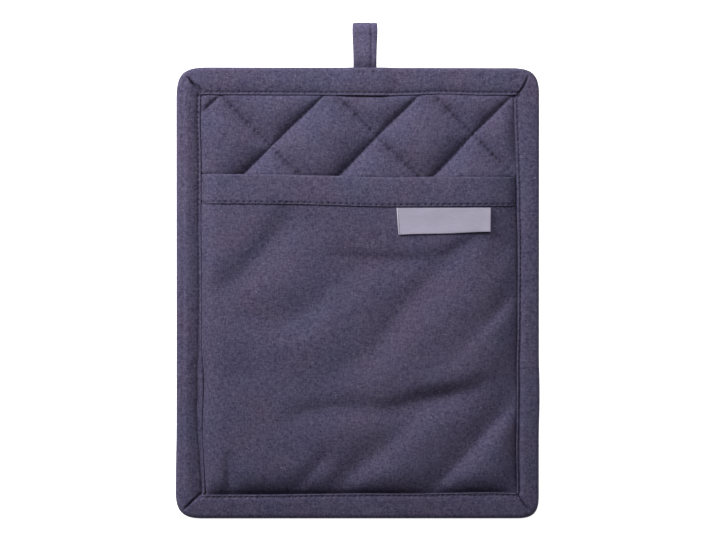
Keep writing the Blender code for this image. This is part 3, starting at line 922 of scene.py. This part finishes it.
def makeBinding():
    look = bindingLook
    stations = [(strayed(inner), outer, numbers) for inner, outer, numbers in bindingStations()]
    seam = np.array([a + (b - a) / np.hypot(*(b - a)) * numbers[0] for a, b, numbers in stations])
    *place, length = placesAlong([*seam, seam[0]])
    place = np.array(place)
    holes = dimples(place, needleHoles(length, bindingStitch), look["holeWidth"])
    rings, seamTop, seamUnder = [], [], []
    for (start, outer, numbers), hole, point in zip(stations, holes, seam):
        inset, reach = numbers[0], float(np.hypot(*(outer - start)))
        outX, outY = (outer - start) / reach
        over = overLoop(start)
        u, z, follows = bindingSection(reach, numbers, hole, over)
        rings.append(np.column_stack([start[0] + outX * u, start[1] + outY * u, z, u - inset, follows]))
        height = float(bindingTopHeight(np.array(inset), reach, numbers, 0))
        seamTop.append((*point, height + look["loopBulge"] * over))
        seamUnder.append((*point, look["loopLift"] * over + look["underGroove"]))
    x, y, z, u, upper = np.moveaxis(np.array(rings), -1, 0)
    # small puckers where the needle gathers the strip, and broader unevenness
    around = place[:, None] + 0 * u
    gather = hills(around, 0 * u, 3.1, 21) * bell(u - 0.8, 2.6)
    rough = hills(x, y, 11, 22) + 0.5 * hills(x, y, 5, 23)
    z = z + upper * (look["puckers"] * gather + look["hills"] * rough)
    for markX, markY in look["tackMarks"]:
        z = z - upper * look["tackDepth"] * bell(x - markX, 0.75) * bell(y - markY, 0.65)
    # mitres, where the strip folds over itself along a line out of each inner corner, and the pleat
    for crease in look["creases"]:
        nearX, nearY, _ = crease[4]
        near = np.hypot(x - nearX, y - nearY) < 16
        z[near] -= upper[near] * foldDepth(x[near], y[near], crease, 0.12)
    faces = tubeFaces(*z.shape, closed=True)
    binding = makeObject("bindingStrip", np.stack([x, y, z], -1).reshape(-1, 3), faces, bindingCotton)
    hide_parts("binding")
    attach(binding, "root")
    # one strip 900 mm round, 34 mm wide with its turned edges
    return binding, seamTop, seamUnder


binding, seamTop, seamUnder = makeBinding()
print("binding:", len(binding.data.polygons), "faces")


loopLook = {
    "widthEnd": 13.9,
    "widthFoot": 12.7,
    "tape": 1.1,
    "end": 148.9,
    "foot": 113.5,
    "opening": 4.3,
    "nose": 5.0,
    # where its upper half leaves its foot, where it is fully up, and how far and where it sags
    "riseStart": 122.6,
    "riseEnd": 136.0,
    "footGap": 0.3,
    "sag": 0.35,
    "sagStart": 128,
    "sagLength": 18,
    "seamAt": 3.35,
    "seamDepth": 0.30,
    "holeDepth": 0.22,
    "crown": 0.25,
    "roundFrom": 0.88,
    "unevenness": 0.07,
}

loopStitch = {
    "pitch": 2.7, "uneven": 0.15, "slant": 0.05, "radius": 0.16, "lift": 0.0, "dive": 0.3, "seed": 80,
}


# Middle line of the tape: (y, z) rows from its lower foot round the fold to its upper foot
def loopPath():
    look = loopLook
    tape, nose = look["tape"], look["nose"]
    low = tape / 2
    high = low + tape + look["opening"]
    centre = look["end"] - tape / 2 - nose
    rows = [(y, low) for y in np.linspace(look["foot"], centre, 30)[:-1]]
    for turn in np.radians(np.linspace(-90, 90, 25)):
        height = (low + high) / 2 + (high - low) / 2 * math.sin(turn)
        rows.append((centre + nose * math.cos(turn), height))
    footHeight = low + tape + look["footGap"]
    for y in np.linspace(centre, look["foot"], 60)[1:]:
        share = float(clamp01((y - look["riseStart"]) / (look["riseEnd"] - look["riseStart"])))
        rise = fullPuff(share, 2.6) * smoothStep(share, 0, 0.12)
        sag = look["sag"] * math.sin(math.pi * float(clamp01((y - look["sagStart"]) / look["sagLength"])))
        rows.append((y, footHeight + (high - footHeight) * rise - sag))
    return np.array(rows)


def makeLoop():
    look = loopLook
    path = loopPath()
    place = placesAlong(path)
    along = np.arange(0, place[-1], 0.42)
    y, z = np.interp(along, place, path[:, 0]), np.interp(along, place, path[:, 1])
    slope = np.stack([np.gradient(y), np.gradient(z)])
    slope /= np.hypot(*slope)
    outY, outZ = slope[1], -slope[0]
    holes = dimples(along, needleHoles(along[-1], loopStitch), 0.5)
    halfWidth = (look["widthFoot"] + (look["widthEnd"] - look["widthFoot"]) * smoothStep(y, 124, 148)) / 2
    halfWidth = halfWidth + 0.15 * hills(along, 0 * along, 9, 31)
    # across the tape: rounded edges, and more points at the needle line near the right edge
    leftEdge, rightEdge = [-1, -0.985, -0.94, -0.85], [0.74, 0.85, 0.94, 0.985, 1]
    across = np.concatenate([leftEdge, np.linspace(-0.7, 0.36, 7), np.linspace(0.42, 0.62, 9), rightEdge])
    edge = np.maximum(np.abs(across) - look["roundFrom"], 0) / (1 - look["roundFrom"])
    rounded = look["tape"] / 2 * np.sqrt(np.maximum(1 - edge ** 2, 0)) + look["crown"] * (1 - across ** 2)
    fromMiddle = across[None, :] * halfWidth[:, None]
    fromNeedle = fromMiddle - look["seamAt"]
    sides = []
    for face in (1, -1):
        offset = rounded[None, :] - look["seamDepth"] * bell(fromNeedle, 0.6)
        offset = offset - look["holeDepth"] * holes[:, None] * bell(fromNeedle, 0.5)
        uneven = hills(along[:, None] + 0 * fromNeedle, fromNeedle, 3.0, 32 + face)
        offset = (offset + look["unevenness"] * uneven) * face
        point = [layout["loopMiddle"] + fromMiddle, y[:, None] + outY[:, None] * offset]
        sides.append(np.stack([*point, z[:, None] + outZ[:, None] * offset], -1))
    # one closed ring of points at each place along the tape
    rings = np.concatenate([sides[0], sides[1][:, -2:0:-1]], axis=1)
    count, size, _ = rings.shape
    ends = [range(size), range((count - 1) * size, count * size)[::-1]]
    faces = list(tubeFaces(count, size)) + ends
    loop = makeObject("hangingLoop", rings.reshape(-1, 3), faces, loopCotton)
    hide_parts("hanging_loop")
    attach(loop, "root")
    # a tape 13.5 mm wide, folded in half: twice the loop's length and the nose
    half = look["tape"] / 2
    seamX = layout["loopMiddle"] + look["seamAt"] + 0 * y
    seamLine = np.stack([seamX, y + outY * half, z + outZ * half], -1)
    return loop, seamLine, np.stack([0 * y, outY, outZ], -1)


loop, loopSeam, loopNormals = makeLoop()
print("loop:", len(loop.data.polygons), "faces")


labelLook = {
    "corners": ((21.4, 46.6), (73.2, 46.8), (73.1, 33.5), (22.5, 31.8)),
    "length": 52,
    "width": 14,
    "ribbon": 0.4,
    "seat": 0.16,
    "hemEdge": 46.4,
    "middle": (48.0, 40.0),
    "wave": 0.12,
    # its right end and its lower edge stand up a little
    "lift": 0.35,
    "liftReach": 3.0,
    "footLift": 0.28,
    "footReach": 3.5,
    # its left end is turned under
    "fold": 0.65,
    "foldRise": 0.35,
}


def makeLabel():
    look = labelLook
    corners, length = np.array(look["corners"]), look["length"]
    s = [0, 0.002, 0.006, 0.012, 0.016, 0.02], np.linspace(0.03, 0.985, 64), [0.993, 0.997, 1]
    t = [0, 0.01, 0.025], np.linspace(0.05, 0.96, 26), [0.98, 0.993, 1]
    s, t = np.meshgrid(np.concatenate(s), np.concatenate(t))
    top = corners[0] + (corners[1] - corners[0]) * s[..., None]
    low = corners[3] + (corners[2] - corners[3]) * s[..., None]
    x, y = np.moveaxis(top + (low - top) * t[..., None], -1, 0)
    y = y + look["wave"] * np.sin(s * 9) * t
    # it lies on the pocket, and bridges its hollows
    under = pocketTop(x, np.minimum(y, look["hemEdge"]))
    middle = pocketTop(*np.array(look["middle"])[:, None])[0]
    under = np.maximum(under, under * 0.6 + middle * 0.4)
    fromLeft, fromRight, fromFoot = s * length, (1 - s) * length, (1 - t) * look["width"]
    lift = look["lift"] * bell(fromRight, look["liftReach"])
    lift += look["footLift"] * bell(fromFoot, look["footReach"]) * (0.75 + 0.25 * np.sin(s * 7 + 1))
    bottom = under + look["seat"] + lift * smoothStep(t, 0, 0.35)
    edge = clamp01(np.minimum.reduce([fromLeft, fromRight, fromFoot]) / 0.25)
    thick = look["ribbon"] * (1 - 0.5 * (1 - np.sqrt(1 - (1 - edge) ** 2)))
    fold = look["foldRise"] * (1 - smoothStep(fromLeft, look["fold"] * 0.8, look["fold"] * 1.25))
    fold = fold * smoothStep(fromLeft, -0.1, 0.2)
    label = closedSheet("labelRibbon", (x, y, bottom + thick + fold), (x, y, bottom), ribbon)
    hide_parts("label")
    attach(label, "root")
    return label


ribbon = ribbonMaterial("wovenRibbon", ribbonLook, labelLook["corners"][0][0])
label = makeLabel()
print("label:", len(label.data.polygons), "faces")


def upright(line):
    return np.tile([0.0, 0.0, 1.0], (len(line), 1))


# Binding above and below, hem, loop, then the quilting on the front and on the back
def makeStitches():
    top, under = [np.array(line + line[:1]) for line in (seamTop, seamUnder)]
    runs = [(top, upright(top)), (under, -upright(under))]
    made = [stitchObject("bindingStitches", runs, bindingStitch)]
    hem = hemSeam()
    made.append(stitchObject("hemStitches", [(hem, upright(hem))], hemStitch))
    made.append(stitchObject("loopStitches", [(loopSeam, loopNormals)], loopStitch))
    front, back = [], []
    t = np.linspace(-230, 230, 461)
    for way, seams in enumerate(layout["seams"]):
        slope = (1, -1)[way]
        for seam in seams:
            x, y = (t + seam) / 2, slope * (t - seam) / 2
            # the seams sway like the puffs beside them
            for _ in range(2):
                off = (quiltPlaces(x, y)[way] - seam) / 2
                x, y = x - off, y + slope * off
            inside = np.minimum.reduce(insideDistances(x, y))
            for runList, keep, heights, facing in (
                (front, (inside > 0.6) & (y > mouthLine(x) + 0.5), padTop, 1),
                (back, inside > 0.6, padBottom, -1),
            ):
                # a seam that only clips a corner is left out
                if keep.sum() < 6:
                    continue
                line = np.stack([x[keep], y[keep], heights(x[keep], y[keep])], -1)
                runList.append((line, facing * upright(line)))
    made.append(stitchObject("quiltingStitches", front + back, quiltStitch))
    for obj in made:
        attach(obj, "root")
    return made


made = makeStitches()
print("stitches:", sum(len(obj.data.polygons) for obj in made), "faces")


cameraLook = {"height": 1.6, "aim": (0.28, 12.6), "frameWidth": 395.6, "sensor": 36.0}
lightLook = {
    "key": {"at": (-0.68, 0.56, 0.50), "size": 0.35, "watts": 16.9},
    "fill": {"at": (0.16, 0.38, 0.38), "size": 0.4, "watts": 2.1},
    "sky": 0.18,
    "floor": (0.93, 0.93, 0.93, 1),
    "floorShade": (0.85, 0.85, 0.86, 1),
    "floorGlow": 0.9,
}


def makeStage():
    camera = bpy.data.objects.new("camera", bpy.data.cameras.new("camera"))
    scene.collection.objects.link(camera)
    x, y = [v * mm for v in cameraLook["aim"]]
    camera.location = (x, y, cameraLook["height"])
    camera.data.sensor_width = cameraLook["sensor"]
    camera.data.lens = cameraLook["sensor"] * cameraLook["height"] / (cameraLook["frameWidth"] * mm)
    scene.camera = camera

    for name in ("key", "fill"):
        look = lightLook[name]
        lamp = bpy.data.objects.new(name + "Light", bpy.data.lights.new(name + "Light", "AREA"))
        lamp.data.shape, lamp.data.size, lamp.data.energy = "SQUARE", look["size"], look["watts"]
        lamp.location = look["at"]
        # it looks at the middle of the cloth
        lamp.rotation_euler = (-lamp.location).to_track_quat("-Z", "Y").to_euler()
        scene.collection.objects.link(lamp)

    world = bpy.data.worlds.new("studio")
    scene.world = world
    world.use_nodes = True
    sky = world.node_tree.nodes["Background"].inputs
    sky["Color"].default_value = (1, 1, 1, 1)
    sky["Strength"].default_value = lightLook["sky"]

    bpy.ops.mesh.primitive_plane_add(size=6, location=(0, 0, -0.0004))
    floor = bpy.context.object
    floor.name = "floor"
    n = Nodes("paleFloor")
    cloudy = n.math("MULTIPLY", n.noise(n.place, 3, 3, 3, 2.0), 0.05)
    n.put(n.shader, "Base Color", n.mix(cloudy, lightLook["floor"], lightLook["floorShade"]))
    n.put(n.shader, "Roughness", 0.8)
    # it glows, so that it stays white round the cloth
    n.put(n.shader, "Emission Color", (1, 1, 1, 1))
    n.put(n.shader, "Emission Strength", lightLook["floorGlow"])
    floor.data.materials.append(n.material)
    scene.view_settings.view_transform = "Standard"


makeStage()
print("stage set")
